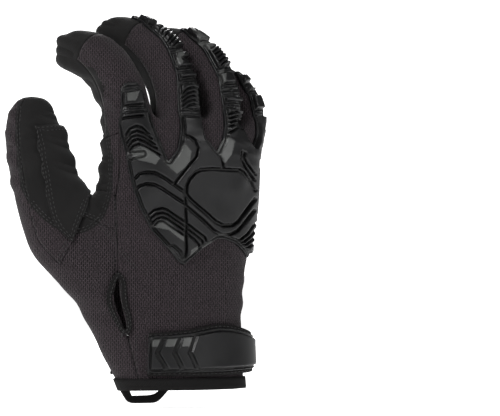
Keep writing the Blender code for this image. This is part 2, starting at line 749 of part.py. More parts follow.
# Patches on the palm, drawn as seen square to the palm: across and height, both in shares of PALM_LENGTH.
OUTER_HEEL = (
    (-0.164, 0.560), (-0.155, 0.630), (-0.126, 0.670), (-0.070, 0.677), (0.025, 0.648), (0.104, 0.595),
    (0.104, 0.325), (0.050, 0.300), (-0.066, 0.348), (-0.139, 0.440),
)
INNER_HEEL = (
    (0.122, 0.606), (0.290, 0.606), (0.338, 0.570), (0.352, 0.510), (0.280, 0.318), (0.220, 0.318),
    (0.122, 0.525),
)
FINGER_BASE = (
    (-0.177, 0.760), (-0.190, 0.848), (-0.152, 0.886), (-0.101, 0.870), (-0.070, 0.830), (-0.025, 0.845),
    (0.025, 0.872), (0.076, 0.896), (0.152, 0.886), (0.215, 0.902), (0.278, 0.896), (0.291, 0.823),
    (0.278, 0.760), (0.139, 0.760), (0.000, 0.728), (-0.089, 0.741),
)
PULL_PATCH = ((0.000, 0.136), (0.265, 0.152), (0.265, 0.052), (0.000, 0.044))
LOOP_OUTER = ((0.015, 0.036), (0.015, 0.015), (0.090, -0.072), (0.195, -0.070), (0.235, 0.012), (0.235, 0.036))
LOOP_INNER = ((0.052, 0.004), (0.100, -0.041), (0.185, -0.040), (0.200, 0.004))


def scaled(outline):
    return [(across * PALM_LENGTH, height * PALM_LENGTH) for across, height in outline]


def build_patches(skin):
    def on_palm(across, height):
        return skin.on_view(PALM_AZIMUTH, across, height)

    def below_hem(across, height):
        held = max(height, 0.001)
        place, normal = on_palm(across, held)
        return place + Vector((0, 0, height - held)), Vector((normal.x, normal.y, 0)).normalized()

    for name, outline, thickness, spacing in (
        ("outer_heel_pad", OUTER_HEEL, HEEL_THICKNESS, PATCH_SPACING),
        ("inner_heel_pad", INNER_HEEL, HEEL_THICKNESS, PATCH_SPACING),
        ("finger_base_patch", FINGER_BASE, PATCH_THICKNESS, PATCH_SPACING),
        ("pull_patch", PULL_PATCH, PATCH_THICKNESS, PULL_SPACING),
    ):
        bm = pattern_solid(on_palm, scaled(outline), LAY_GAP, LAY_GAP + thickness, spacing)
        new_object(name, bm, SUEDE_COLOUR, 0.95)
    low = SEAM_GAP + TAPE_THICKNESS + LOOP_GAP
    high = low + LOOP_THICKNESS
    loop = pattern_solid(below_hem, scaled(LOOP_OUTER), low, high, LOOP_SPACING, scaled(LOOP_INNER))
    new_object("pull_loop", loop, TAPE_COLOUR, 0.9)
    patch = overlay_solid(skin, THUMB_PATCHED, SEAM_GAP, SEAM_GAP + PATCH_THICKNESS)
    new_object("thumb_patch", patch, SUEDE_COLOUR, 0.95)


# The guard's pattern: across as a share of PALM_WIDTH from its middle line, and along from 0 at the hem to 1
# at the knuckles and on up each finger. The outline runs up the thumb side from the foot and round each finger.
GUARD_OUTLINE = (
    # across, along
    (-0.443, 1.207), (-0.453, 1.080), (-0.453, 0.970), (-0.415, 0.848), (-0.387, 0.739), (-0.349, 0.655),
    (-0.292, 0.576), (-0.151, 0.461), (-0.123, 0.448), (0.000, 0.515), (0.085, 0.545), (0.132, 0.545),
    (0.217, 0.527), (0.349, 0.473), (0.406, 0.497), (0.453, 0.558), (0.481, 0.630), (0.500, 0.715),
    (0.505, 0.824), (0.505, 0.933), (0.509, 1.048), (0.511, 1.290), (0.500, 1.532), (0.448, 1.540),
    (0.415, 1.403), (0.410, 1.113), (0.401, 0.970), (0.387, 0.921), (0.349, 0.891), (0.302, 0.915),
    (0.276, 0.958), (0.276, 1.062), (0.283, 1.208), (0.292, 1.323), (0.297, 1.469), (0.297, 1.656),
    (0.283, 1.760), (0.198, 1.760), (0.170, 1.656), (0.156, 1.469), (0.151, 1.323), (0.137, 1.156),
    (0.132, 1.052), (0.127, 0.958), (0.113, 0.909), (0.075, 0.867), (0.005, 0.915), (-0.014, 0.970),
    (-0.005, 1.059), (0.019, 1.196), (0.028, 1.304), (0.035, 1.441), (0.038, 1.539), (0.033, 1.686),
    (0.009, 1.824), (-0.075, 1.824), (-0.099, 1.686), (-0.104, 1.539), (-0.108, 1.441), (-0.118, 1.304),
    (-0.132, 1.196), (-0.151, 1.059), (-0.142, 0.945), (-0.160, 0.873), (-0.208, 0.830), (-0.255, 0.915),
    (-0.292, 0.976), (-0.311, 1.069), (-0.311, 1.172), (-0.340, 1.230), (-0.415, 1.241),
)
GUARD_PADS = {
    # pad: across, along at each corner
    "octagon": (
        (-0.038, 0.800), (0.236, 0.800), (0.340, 0.727), (0.349, 0.691), (0.198, 0.606), (0.132, 0.594),
        (0.075, 0.600), (-0.113, 0.709), (-0.113, 0.745),
    ),
    "index_tip": (
        (-0.434, 1.195), (-0.340, 1.190), (-0.330, 1.034), (-0.434, 1.034),
    ),
    "index_joint": (
        (-0.434, 0.988), (-0.340, 0.988), (-0.302, 0.927), (-0.288, 0.873), (-0.406, 0.870),
        (-0.436, 0.927),
    ),
    "index_knuckle": (
        (-0.399, 0.852), (-0.269, 0.858), (-0.236, 0.821), (-0.377, 0.785),
    ),
    "under_index": (
        (-0.371, 0.758), (-0.311, 0.770), (-0.255, 0.761), (-0.189, 0.733), (-0.146, 0.706),
        (-0.146, 0.688), (-0.189, 0.712), (-0.264, 0.733), (-0.363, 0.715),
    ),
    "thumb_side": (
        (-0.344, 0.697), (-0.311, 0.709), (-0.264, 0.709), (-0.184, 0.673), (-0.146, 0.655),
        (-0.146, 0.624), (-0.245, 0.664), (-0.328, 0.652),
    ),
    "foot": (
        (-0.307, 0.621), (-0.245, 0.639), (-0.146, 0.597), (-0.146, 0.479), (-0.278, 0.579),
    ),
    "foot_middle": (
        (-0.108, 0.642), (0.038, 0.567), (-0.014, 0.530), (-0.108, 0.479),
    ),
    "between": (
        (-0.193, 0.827), (-0.142, 0.885), (-0.090, 0.861), (-0.113, 0.827), (-0.184, 0.767),
    ),
    "middle_knuckle": (
        (-0.123, 0.930), (-0.127, 1.010), (-0.028, 1.010), (-0.034, 0.958), (-0.014, 0.912),
        (0.025, 0.885), (-0.028, 0.879), (-0.057, 0.906),
    ),
    "middle_first": (
        (-0.107, 1.279), (0.015, 1.279), (0.006, 1.201), (-0.116, 1.201),
    ),
    "middle_second": (
        (-0.104, 1.422), (0.025, 1.422), (0.019, 1.333), (-0.106, 1.333),
    ),
    "middle_tip": (
        (-0.075, 1.799), (0.005, 1.799), (0.021, 1.657), (-0.087, 1.657),
    ),
    "ring_knuckle": (
        (0.104, 0.890), (0.137, 0.921), (0.262, 0.915), (0.330, 0.879), (0.382, 0.836), (0.377, 0.758),
        (0.363, 0.744), (0.255, 0.818), (0.075, 0.818), (0.075, 0.848),
    ),
    "ring_first": (
        (0.151, 1.146), (0.268, 1.146), (0.264, 1.062), (0.147, 1.062),
    ),
    "ring_second": (
        (0.164, 1.312), (0.278, 1.312), (0.270, 1.188), (0.154, 1.188),
    ),
    "ring_tip": (
        (0.206, 1.740), (0.276, 1.740), (0.288, 1.646), (0.288, 1.542), (0.174, 1.542), (0.181, 1.646),
    ),
    "outer_foot": (
        (0.226, 0.561), (0.368, 0.633), (0.410, 0.615), (0.264, 0.533),
    ),
    "outer_hand": (
        (0.406, 0.648), (0.429, 0.633), (0.465, 0.642), (0.486, 0.721), (0.489, 0.812), (0.410, 0.812),
    ),
    "outer_knuckle": (
        (0.415, 0.836), (0.489, 0.836), (0.489, 0.958), (0.425, 0.958), (0.401, 0.903),
    ),
    "pinky_first": (
        (0.426, 1.032), (0.490, 1.032), (0.492, 1.250), (0.432, 1.250),
    ),
    "pinky_tip": (
        (0.438, 1.330), (0.492, 1.330), (0.483, 1.492), (0.458, 1.492),
    ),
}


def build_guard(skin):
    """The sewn rubber guard: a thin flange with raised pads, moulded as one piece."""
    unit = Vector((PALM_WIDTH, CHART_KNUCKLES))

    def lay(x, y):
        return skin.on_back(x / unit.x, y / unit.y)

    def spread(outline):
        return [(x * unit.x, y * unit.y) for x, y in outline]

    rim = resample(spread(GUARD_OUTLINE), GUARD_SPACING)
    feet = [resample(spread(outline), PAD_SPACING) for outline in GUARD_PADS.values()]
    tops = [inset(foot, PAD_SLOPE) for foot in feet]
    bm = bmesh.new()
    upper = laid_sheet(bm, lay, rim, feet + tops, tops, GUARD_GAP + FLANGE_THICKNESS, PAD_HEIGHT)
    lower = laid_sheet(bm, lay, rim, [], [], GUARD_GAP, 0.0)
    for i in range(len(rim)):
        j = (i + 1) % len(rim)
        bm.faces.new((upper[i], upper[j], lower[j], lower[i]))
    bmesh.ops.recalc_face_normals(bm, faces=bm.faces)
    new_object("impact_guard", bm, RUBBER_COLOUR, 0.5)


def inset(loop, distance):
    """The loop drawn inwards by a distance, square to its sides."""
    area = sum(x0 * y1 - x1 * y0 for (x0, y0), (x1, y1) in zip(loop, loop[1:] + loop[:1]))
    turn = 1 if area > 0 else -1
    drawn = []
    for i, corner in enumerate(loop):
        before, here, after = Vector(loop[i - 1]), Vector(corner), Vector(loop[(i + 1) % len(loop)])
        first, second = (here - before).normalized(), (after - here).normalized()
        normals = [Vector((-run.y, run.x)) * turn for run in (first, second)]
        mitre = normals[0] + normals[1]
        drawn.append(tuple(here + mitre * (distance / max(mitre.dot(normals[0]), 0.4))))
    return drawn


def laid_sheet(bm, lay, rim, loops, raised, height, rise):
    """Fills a rim with triangles that follow the loops inside it, laid at a height above the surface, and
    higher on the raised loops and within them. Returns the points of the rim."""
    points, edges, heights = [], [], []
    for loop in [rim] + loops:
        start = len(points)
        points += loop
        edges += [(start + i, start + (i + 1) % len(loop)) for i in range(len(loop))]
        heights += [height + (rise if loop in raised else 0)] * len(loop)
    xs, ys = [p[0] for p in rim], [p[1] for p in rim]
    across, rows = int((max(xs) - min(xs)) / GUARD_SPACING), int((max(ys) - min(ys)) / GUARD_SPACING)
    for i in range(1, across):
        x = mix(min(xs), max(xs), i / across)
        for j in range(1, rows):
            y = mix(min(ys), max(ys), (j + 0.5 * (i % 2)) / rows)
            if clear_inside((x, y), [rim], 0.45 * GUARD_SPACING):
                here = Vector((x, y))
                if all((here - Vector(p)).length > 0.5 * GUARD_SPACING for loop in loops for p in loop):
                    points.append((x, y))
                    on_pad = any(inside_loop((x, y), loop) for loop in raised)
                    heights.append(height + (rise if on_pad else 0))
    flat = [Vector(p) for p in points]
    verts, _, triangles, sources, _, _ = delaunay_2d_cdt(flat, edges, [list(range(len(rim)))], 1, 1e-7)
    placed = []
    for vert, source in zip(verts, sources):
        place, normal = lay(vert.x, vert.y)
        placed.append(bm.verts.new(place + normal * heights[source[0]]))
    for triangle in triangles:
        bm.faces.new([placed[i] for i in triangle])
    where = {source: index for index, found in enumerate(sources) for source in found}
    return [placed[where[i]] for i in range(len(rim))]


def main():
    for old in list(bpy.data.objects):
        bpy.data.objects.remove(old, do_unlink=True)
    skin = Skin(make_shell_cage())
    build_shell(skin)
    build_hem_tape(skin)
    build_slit_tape(skin)
    build_strap(skin)
    build_patches(skin)
    build_guard(skin)


main()
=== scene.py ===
import math

import bmesh
import bpy
import numpy as np
from mathutils import Matrix, Vector, kdtree, noise
from mathutils.bvhtree import BVHTree


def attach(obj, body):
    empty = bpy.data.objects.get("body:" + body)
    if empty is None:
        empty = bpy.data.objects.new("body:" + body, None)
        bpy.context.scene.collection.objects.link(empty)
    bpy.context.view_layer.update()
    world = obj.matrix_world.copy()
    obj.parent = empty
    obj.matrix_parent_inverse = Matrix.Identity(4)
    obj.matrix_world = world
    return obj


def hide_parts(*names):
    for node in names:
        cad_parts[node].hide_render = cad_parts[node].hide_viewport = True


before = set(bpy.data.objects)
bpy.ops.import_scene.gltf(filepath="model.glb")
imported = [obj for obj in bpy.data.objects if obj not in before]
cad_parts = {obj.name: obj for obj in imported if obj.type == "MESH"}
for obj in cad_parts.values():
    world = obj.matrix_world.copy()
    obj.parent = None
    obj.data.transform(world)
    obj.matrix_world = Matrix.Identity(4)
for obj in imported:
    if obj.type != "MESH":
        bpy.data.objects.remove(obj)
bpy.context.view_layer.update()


# Shell: five sewn panels round a half-closed hand, stretch knit on its back and synthetic suede in its
# palm, with their edges turned in at the seams. It creases at the wrist and the thumb's crotch, and gathers
# where the thumb and the index finger bend.

def linear(code):
    """An sRGB hex colour as linear RGBA."""
    parts = [int(code[i:i + 2], 16) / 255 for i in (1, 3, 5)]
    return (*[c / 12.92 if c <= 0.04045 else ((c + 0.055) / 1.055) ** 2.4 for c in parts], 1)


def add(tree, kind, inputs, **settings):
    """Adds a shader node: settings on the node, then each input as a link or a value."""
    node = tree.nodes.new(kind)
    for key, value in settings.items():
        setattr(node, key, value)
    for key, value in inputs.items():
        if isinstance(value, bpy.types.NodeSocket):
            tree.links.new(value, node.inputs[key])
        else:
            node.inputs[key].default_value = value
    return node


def suede_nap(tree, coord):
    """Suede's tone and its nap: cloudy over 15 mm where the nap lies over, and rough over 0.4 mm."""
    nap = add(tree, "ShaderNodeTexNoise", {
        "Vector": coord.outputs["Object"], "Scale": 2600.0, "Detail": 3.0})
    clouds = add(tree, "ShaderNodeTexNoise", {
        "Vector": coord.outputs["Object"], "Scale": 70.0, "Detail": 3.0})
    tone = add(tree, "ShaderNodeMix", {
        "Factor": clouds.outputs["Fac"], "A": linear("#0d0d0d"), "B": linear("#1c1b1b")}, data_type="RGBA")
    return tone, nap


# Stretch knit: a purplish grey polyester jersey, matt, with upright dashes of near black mesh 2.6 mm long
# and 1.15 mm apart, which give it a fine upright grain. On the flanks of the hand and the fingers the dashes
# are spaced through the glove's depth. Suede laps over the knit where the panel's attribute says.
knit = bpy.data.materials.new("stretch_knit")
knit.use_nodes = True
tree = knit.node_tree
shader = tree.nodes["Principled BSDF"]
coord = add(tree, "ShaderNodeTexCoord", {})
turned = add(tree, "ShaderNodeMapping", {
    "Vector": coord.outputs["Object"], "Rotation": (0, 0, math.radians(30)), "Scale": (1000, 1000, 1000)})
parts = add(tree, "ShaderNodeSeparateXYZ", {0: turned.outputs[0]})
wobble = add(tree, "ShaderNodeTexNoise", {"Vector": coord.outputs["Object"], "Scale": 260.0, "Detail": 2.0})
shift = add(tree, "ShaderNodeMath", {0: wobble.outputs["Fac"], 1: 1.1}, operation="MULTIPLY")
flank = add(tree, "ShaderNodeAttribute", {}, attribute_name="flank")
on_flank = add(tree, "ShaderNodeMath", {0: flank.outputs["Fac"], 1: 0.5}, operation="GREATER_THAN")
girth = add(tree, "ShaderNodeMix", {
    "Factor": on_flank.outputs[0], "A": parts.outputs["X"], "B": parts.outputs["Y"]})
sideways = add(tree, "ShaderNodeMath", {0: girth.outputs["Result"], 1: shift.outputs[0]}, operation="ADD")
along = add(tree, "ShaderNodeCombineXYZ", {"X": parts.outputs["Z"], "Y": sideways.outputs[0], "Z": 0.0})
mesh_dashes = add(tree, "ShaderNodeTexBrick", {
    "Vector": along.outputs[0], "Color1": linear("#090808"), "Color2": linear("#100e0f"),
    "Mortar": linear("#2e282b"), "Scale": 1.0, "Mortar Size": 0.32, "Mortar Smooth": 0.3, "Bias": 0.0,
    "Brick Width": 2.6, "Row Height": 1.15}, offset=0.5)
flecks = add(tree, "ShaderNodeTexNoise", {
    "Vector": coord.outputs["Object"], "Scale": 1500.0, "Detail": 3.0})
fleck_share = add(tree, "ShaderNodeMapRange", {
    "Value": flecks.outputs["Fac"], "From Min": 0.35, "From Max": 0.70, "To Min": 0.55, "To Max": 1.75})
speckled = add(tree, "ShaderNodeVectorMath", {
    0: mesh_dashes.outputs["Color"], "Scale": fleck_share.outputs[0]}, operation="SCALE")
suede_tone, nap = suede_nap(tree, coord)
lap = add(tree, "ShaderNodeAttribute", {}, attribute_name="suede")
lapped = add(tree, "ShaderNodeMapRange", {"Value": lap.outputs["Fac"], "From Min": -0.08, "From Max": 0.08})
cloth_tone = add(tree, "ShaderNodeMix", {
    "Factor": lapped.outputs[0], "A": speckled.outputs[0], "B": suede_tone.outputs["Result"]},
    data_type="RGBA")
tree.links.new(cloth_tone.outputs["Result"], shader.inputs["Base Color"])
both = add(tree, "ShaderNodeMath", {
    0: mesh_dashes.outputs["Fac"], 1: flecks.outputs["Fac"]}, operation="ADD")
height = add(tree, "ShaderNodeMix", {
    "Factor": lapped.outputs[0], "A": both.outputs[0], "B": nap.outputs["Fac"]})
bump = add(tree, "ShaderNodeBump", {
    "Strength": 0.8, "Distance": 0.00025, "Height": height.outputs["Result"]})
tree.links.new(bump.outputs[0], shader.inputs["Normal"])
shader.inputs["Roughness"].default_value = 0.9
shader.inputs["Sheen Weight"].default_value = 0.06
shader.inputs["Sheen Roughness"].default_value = 0.5
shader.inputs["Specular IOR Level"].default_value = 0.1


def node_copy(name):
    """A CAD node's mesh with its doubles merged."""
    bm = bmesh.new()
    bm.from_mesh(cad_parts[name].data)
    bmesh.ops.remove_doubles(bm, verts=bm.verts, dist=1e-5)
    return bm


def show(bm, name, material, node=None):
    """A finished piece that rides on the glove and stands for a CAD node."""
    mesh = bpy.data.meshes.new(name)
    bm.to_mesh(mesh)
    bm.free()
    mesh.shade_smooth()
    mesh.materials.clear()
    mesh.materials.append(material)
    piece = bpy.data.objects.new(name, mesh)
    bpy.context.scene.collection.objects.link(piece)
    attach(piece, "root")
    if node:
        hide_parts(node)
    return piece


SHARP = 0.9  # radians: a sharper edge than this is a rim and keeps its crease


def rounded(bm, levels):
    """The mesh subdivided smooth, with its sharp rims kept."""
    bmesh.ops.join_triangles(bm, faces=bm.faces, angle_face_threshold=0.7, angle_shape_threshold=1.2)
    crease = bm.edges.layers.float.new("crease_edge")
    for edge in bm.edges:
        if edge.calc_face_angle(0) > SHARP:
            edge[crease] = 1.0
    mesh = bpy.data.meshes.new("rounded")
    bm.to_mesh(mesh)
    bm.free()
    source = bpy.data.objects.new("rounded", mesh)
    bpy.context.scene.collection.objects.link(source)
    smooth = source.modifiers.new("smooth", "SUBSURF")
    smooth.levels = smooth.render_levels = levels
    graph = bpy.context.evaluated_depsgraph_get()
    result = bmesh.new()
    result.from_mesh(source.evaluated_get(graph).to_mesh())
    bpy.data.objects.remove(source, do_unlink=True)
    return result


# Across the photo's view of the back, which is turned 30 degrees about the upright, and into it.
RIGHT, AHEAD = Vector((0.866, -0.5, 0)), Vector((0.5, 0.866, 0))


def seen_from_back(place):
    """A place, or an array of them by axis, as millimetres across and up the photo's view of the back."""
    return 1000 * (RIGHT.x * place[0] + RIGHT.y * place[1]), 1000 * place[2]


def ramp(value, start, end):
    """How far a value has come from start to end, from 0 to 1."""
    return np.clip((value - start) / (end - start), 0, 1)


GATHER_PITCH, GATHER_DEPTH = 14, 0.001  # millimetres, metres


def gather(place, normal):
    """Ripples of gathered cloth down the inner sides of the thumb and the index finger, in metres."""
    across, z = seen_from_back(place)
    share = ramp(abs(RIGHT.dot(normal)), 0.15, 0.5) * ramp(z, 112, 122) * ramp(across, -36, -41)
    return GATHER_DEPTH * share * math.sin(2 * math.pi * (z + 0.35 * across) / GATHER_PITCH)


def fold(place):
    """How far the cloth stands out or in at a place, in metres: soft dents all over, slack over the wrist,
    creases that fan out from the thumb's crotch, and creases where the fingers bend."""
    x, y, z = place * 1000
    across = seen_from_back(place)[0]
    soft = 0.45 * noise.noise(Vector((x, y, z)) / 17) + 0.25 * noise.noise(Vector((x, y, 0.6 * z)) / 7)
    wrist = math.exp(-((z - 52) / 17) ** 2) * 0.55 * math.sin(0.42 * z + 0.16 * across)
    right, up = across + 52, z - 112
    fan = 0.9 * math.exp(-(math.hypot(right, up) / 24) ** 2) * math.sin(9 * math.atan2(up, right))
    bent = math.exp(-((z - 150) / 12) ** 2) * 0.45 * math.sin(0.9 * z) * (1 if y > 5 else 0.3)
    return 0.001 * (soft + wrist + fan + bent)


def distance_to_lines(points, line):
    """Distance of each point to a line of points, in millimetres, all in the plane of the back view."""
    best = np.full(len(points), 1e9)
    for start, end in zip(line, line[1:]):
        a, b = np.array(start), np.array(end)
        run = b - a
        share = np.clip(((points - a) @ run) / (run @ run), 0, 1)
        best = np.minimum(best, np.linalg.norm(points - a - share[:, None] * run, axis=1))
    return best


def inside_polygon(points, corners):
    """Which of the points lie inside the corners, in the plane of the back view."""
    within = np.zeros(len(points), bool)
    for (x0, y0), (x1, y1) in zip(corners, corners[1:] + corners[:1]):
        crosses = (y0 > points[:, 1]) != (y1 > points[:, 1])
        at = x0 + (points[:, 1] - y0) / ((y1 - y0) or 1e-9) * (x1 - x0)
        within ^= crosses & (points[:, 0] < at)
    return within


def rounded_line(line, closed):
    """The line with its corners cut twice, so that it runs in a smooth curve."""
    for _ in range(2):
        pairs = list(zip(line, line[1:] + (line[:1] if closed else [])))
        cut = [tuple(a[i] + (b[i] - a[i]) * share for i in (0, 1))
               for a, b in pairs for share in (0.25, 0.75)]
        line = cut if closed else [line[0]] + cut + [line[-1]]
    return line


# The suede's edge: a curve round the thumb and up the index finger, in millimetres across and up the back.
suede_edge = rounded_line([
    (-60.4, 213.2), (-54.3, 205), (-48.2, 186.7), (-46.4, 169.6), (-43.9, 156.2), (-41.2, 140.3),
    (-41.2, 119.1), (-45.3, 103.9), (-51.4, 96.9), (-61.4, 92.3), (-70.6, 93.8), (-80.6, 99.9),
    (-88.8, 108), (-95.8, 118.1), (-98.9, 134.3), (-99.9, 154.5), (-99.4, 169.7), (-98.2, 175.7),
    (-93.9, 181.8), (-93.9, 198.9), (-74.4, 217.2),
], True)
LAP_REACH, SUEDE_THICKNESS = 3, 0.00035  # millimetres, metres
shell = {}
for name, slot in (
    ("back_panel", "knit"), ("thumb_gusset", "knit"), ("cuff_panel", "knit"),
    ("palm_panel", "suede"), ("thumb_panel", "suede"),
):
    bm = rounded(node_copy(name), 2)
    bm.normal_update()
    rims = [v.co.copy() for v in bm.verts if any(e.calc_face_angle(0) > SHARP for e in v.link_edges)]
    seams = kdtree.KDTree(len(rims))
    for i, place in enumerate(rims):
        seams.insert(place, i)
    seams.balance()
    seen = np.stack(seen_from_back(np.array([v.co for v in bm.verts]).T), axis=1)
    within = inside_polygon(seen, suede_edge)
    reach = distance_to_lines(seen, suede_edge + suede_edge[:1])
    facing = np.array([-AHEAD.dot(v.normal) for v in bm.verts])
    drawn = ramp(facing, -0.15, 0.05)
    if slot == "suede":
        drawn *= ramp(seen[:, 1], 165, 160) * ramp(seen[:, 0], -33, -35)
    else:
        drawn *= ramp(seen[:, 1], 202, 186)
    own = LAP_REACH if slot == "suede" else -LAP_REACH
    lap = np.clip(np.where(within, reach, -reach), -LAP_REACH, LAP_REACH) * drawn + own * (1 - drawn)
    suede_share = bm.verts.layers.float.new("suede")
    sideways_share = bm.verts.layers.float.new("flank")
    for vert, share in zip(bm.verts, lap):
        clear = ramp(seams.find(vert.co)[2], 0.0012, 0.0052)
        raised = SUEDE_THICKNESS * ramp(share, -0.4, 0.4) if slot == "knit" else 0
        vert.co += vert.normal * (fold(vert.co) + gather(vert.co, vert.normal) + raised) * clear
        vert[suede_share] = share
        vert[sideways_share] = abs(RIGHT.dot(vert.normal)) ** 2
    shell[name] = show(bm, name + "_cloth", knit, name)

# The five panels as one surface, for what is laid on them.
skin_verts, skin_faces = [], []
for piece in shell.values():
    start = len(skin_verts)
    skin_verts += [v.co.copy() for v in piece.data.vertices]
    skin_faces += [[start + i for i in face.vertices] for face in piece.data.polygons]
skin = BVHTree.FromPolygons(skin_verts, skin_faces)

# Impact guard: one rubber moulding sewn over the back of the hand and up the fingers. Its pads stand 2.9 mm
# proud of a stitched lip, with rows of narrow ribs where it bends and a plain eight-sided panel amid them.

# Moulded rubber: dark grey with a soft sheen and a faint moulded grain of 0.6 mm. Painted shade makes it
# near black down in its grooves and in the channel inside its lip, and a painted highlight makes the faces
# sloped off its pads paler.
rubber = bpy.data.materials.new("moulded_rubber")
rubber.use_nodes = True
tree = rubber.node_tree
shader = tree.nodes["Principled BSDF"]
coord = add(tree, "ShaderNodeTexCoord", {})
grain = add(tree, "ShaderNodeTexNoise", {"Vector": coord.outputs["Object"], "Scale": 1800.0, "Detail": 2.0})
scuffs = add(tree, "ShaderNodeTexNoise", {"Vector": coord.outputs["Object"], "Scale": 90.0, "Detail": 4.0})
dullness = add(tree, "ShaderNodeMapRange", {
    "Value": scuffs.outputs["Fac"], "From Min": 0.3, "From Max": 0.7, "To Min": 0.32, "To Max": 0.42})
tree.links.new(dullness.outputs[0], shader.inputs["Roughness"])
bump = add(tree, "ShaderNodeBump", {"Strength": 0.25, "Distance": 0.00008, "Height": grain.outputs["Fac"]})
tree.links.new(bump.outputs[0], shader.inputs["Normal"])
# Painted shade: the groove attribute turns the grooves and the channel inside the lip near black, #020202.
shade_in_grooves = add(tree, "ShaderNodeAttribute", {}, attribute_name="groove_shade")
facet_highlight = add(tree, "ShaderNodeAttribute", {}, attribute_name="facet_highlight")
# Painted highlight: the bevel attribute turns the faces sloped off the pads paler grey, #444544 over
# #0e0e0f.
with_facet_highlight = add(tree, "ShaderNodeMix", {
    "Factor": facet_highlight.outputs["Fac"], "A": linear("#0e0e0f"), "B": linear("#444544")}, data_type="RGBA")
tone = add(tree, "ShaderNodeMix", {
    "Factor": shade_in_grooves.outputs["Fac"], "A": with_facet_highlight.outputs["Result"], "B": linear("#020202")}, data_type="RGBA")
tree.links.new(tone.outputs["Result"], shader.inputs["Base Color"])
shader.inputs["Specular IOR Level"].default_value = 0.26


FACE_SIZE = 0.0007  # metres: fine enough for grooves 1 mm wide
PAD_SIDE, GROOVE_SIDE = 0.6, 0.25  # millimetres over which a pad rises, and half of a groove's sloping side
BEAD_HEIGHT, BEAD_MIDDLE, BEAD_REACH = 0.55, 0.5, 0.55  # the bead along the lip's edge, in millimetres
CHANNEL_DEPTH = 0.25  # millimetres, between the lip and the pads


def moulded(name, base, low, rise, lip, grooves, facets, cad_low):
    """A rubber moulding over a base surface: a lip, low metres thick, and pads that rise inside it, with
    grooves cut between them and faces sloped off them. The rise, the lip's width and cad_low, the height
    that counts as a pad in the CAD node, are in millimetres, as are lines and corners across and up."""
    bm = node_copy(name)
    # Painted shade for the grooves and the channel inside the lip, near black in the rubber's colour.
    groove_shade = bm.verts.layers.float.new("groove_shade")
    # Painted highlight for the faces sloped off the pads, paler in the rubber's colour.
    facet_highlight = bm.verts.layers.float.new("facet_highlight")
    for face in bm.faces:
        place = face.calc_center_median()
        near = base.find_nearest(place)[0]
        face.material_index = 1 if face.normal.dot(place - near) > 0.3 * (place - near).length else 0
    for _ in range(5):
        long_edges = [e for e in bm.edges
                      if e.calc_length() > FACE_SIZE and any(f.material_index for f in e.link_faces)]
        if not long_edges:
            break
        bmesh.ops.subdivide_edges(bm, edges=long_edges, cuts=1)
        bmesh.ops.triangulate(bm, faces=[f for f in bm.faces if len(f.verts) > 3])
    top = [v for v in bm.verts if any(f.material_index for f in v.link_faces)]
    rim = [v for v in top if not all(f.material_index for f in v.link_faces)]
    drawn = {}
    for vert in bm.verts:
        near = base.find_nearest(vert.co)[0]
        away = vert.co - near
        drawn[vert] = away.length
        on_top = any(f.material_index for f in vert.link_faces)
        vert.co = near + away.normalized() * (low if on_top else -0.0002)
    for _ in range(4):
        bmesh.ops.smooth_vert(bm, verts=top, factor=0.5, use_axis_x=True, use_axis_y=True, use_axis_z=True)
    bm.normal_update()
    edge_tree = kdtree.KDTree(len(rim))
    for i, vert in enumerate(rim):
        edge_tree.insert(vert.co, i)
    edge_tree.balance()
    seen = np.stack(seen_from_back(np.array([v.co for v in top]).T), axis=1)
    inward = np.array([edge_tree.find(v.co)[2] for v in top]) * 1000
    facing = np.array([-AHEAD.dot(v.normal) for v in top])
    raised = np.array([drawn[v] for v in top]) * 1000
    pad = ramp(inward, lip, lip + PAD_SIDE)
    cut = np.zeros(len(top))
    for width, line in grooves:
        cut = np.maximum(cut, ramp(distance_to_lines(seen, line), width + GROOVE_SIDE, width - GROOVE_SIDE))
    cut *= np.clip((facing - 0.1) / 0.4, 0.35, 1)
    slope = np.zeros(len(top))
    for way, drop, corners in facets:
        within = inside_polygon(seen, corners)
        along = seen @ np.array(way) / math.hypot(*way)
        ends = np.array(corners) @ np.array(way) / math.hypot(*way)
        slope = np.maximum(slope, within * drop * (along - ends.min()) / (ends.max() - ends.min()))
    from_cad = ramp(raised, cad_low, cad_low + 1.2)
    hidden = ramp(facing, 0.14, 0.04)
    height = pad * ((1 - hidden) * (1 - 0.92 * cut) + hidden * from_cad) * (rise - slope * (1 - hidden))
    height += BEAD_HEIGHT * ramp(np.abs(inward - BEAD_MIDDLE), BEAD_REACH, 0)
    channel = ramp(np.abs(inward - (lip - 0.15)), 0.7, 0.2)
    height -= CHANNEL_DEPTH * channel * (1 - pad)
    # Painted shade: how far the colour goes to near black, in the grooves and in the channel inside the lip.
    painted_shade = np.maximum(cut * pad * (1 - hidden), channel)
    # Painted highlight: the faces sloped off the pads are marked here for a paler colour.
    for vert, lift, depth, sloped in zip(top, height, painted_shade, slope > 0):
        vert.co += vert.normal * (0.001 * lift)
        vert[groove_shade] = depth
        vert[facet_highlight] = float(sloped)
    bmesh.ops.smooth_vert(bm, verts=top, factor=0.25, use_axis_x=True, use_axis_y=True, use_axis_z=True)
    for face in bm.faces:
        face.material_index = 0
    return bm


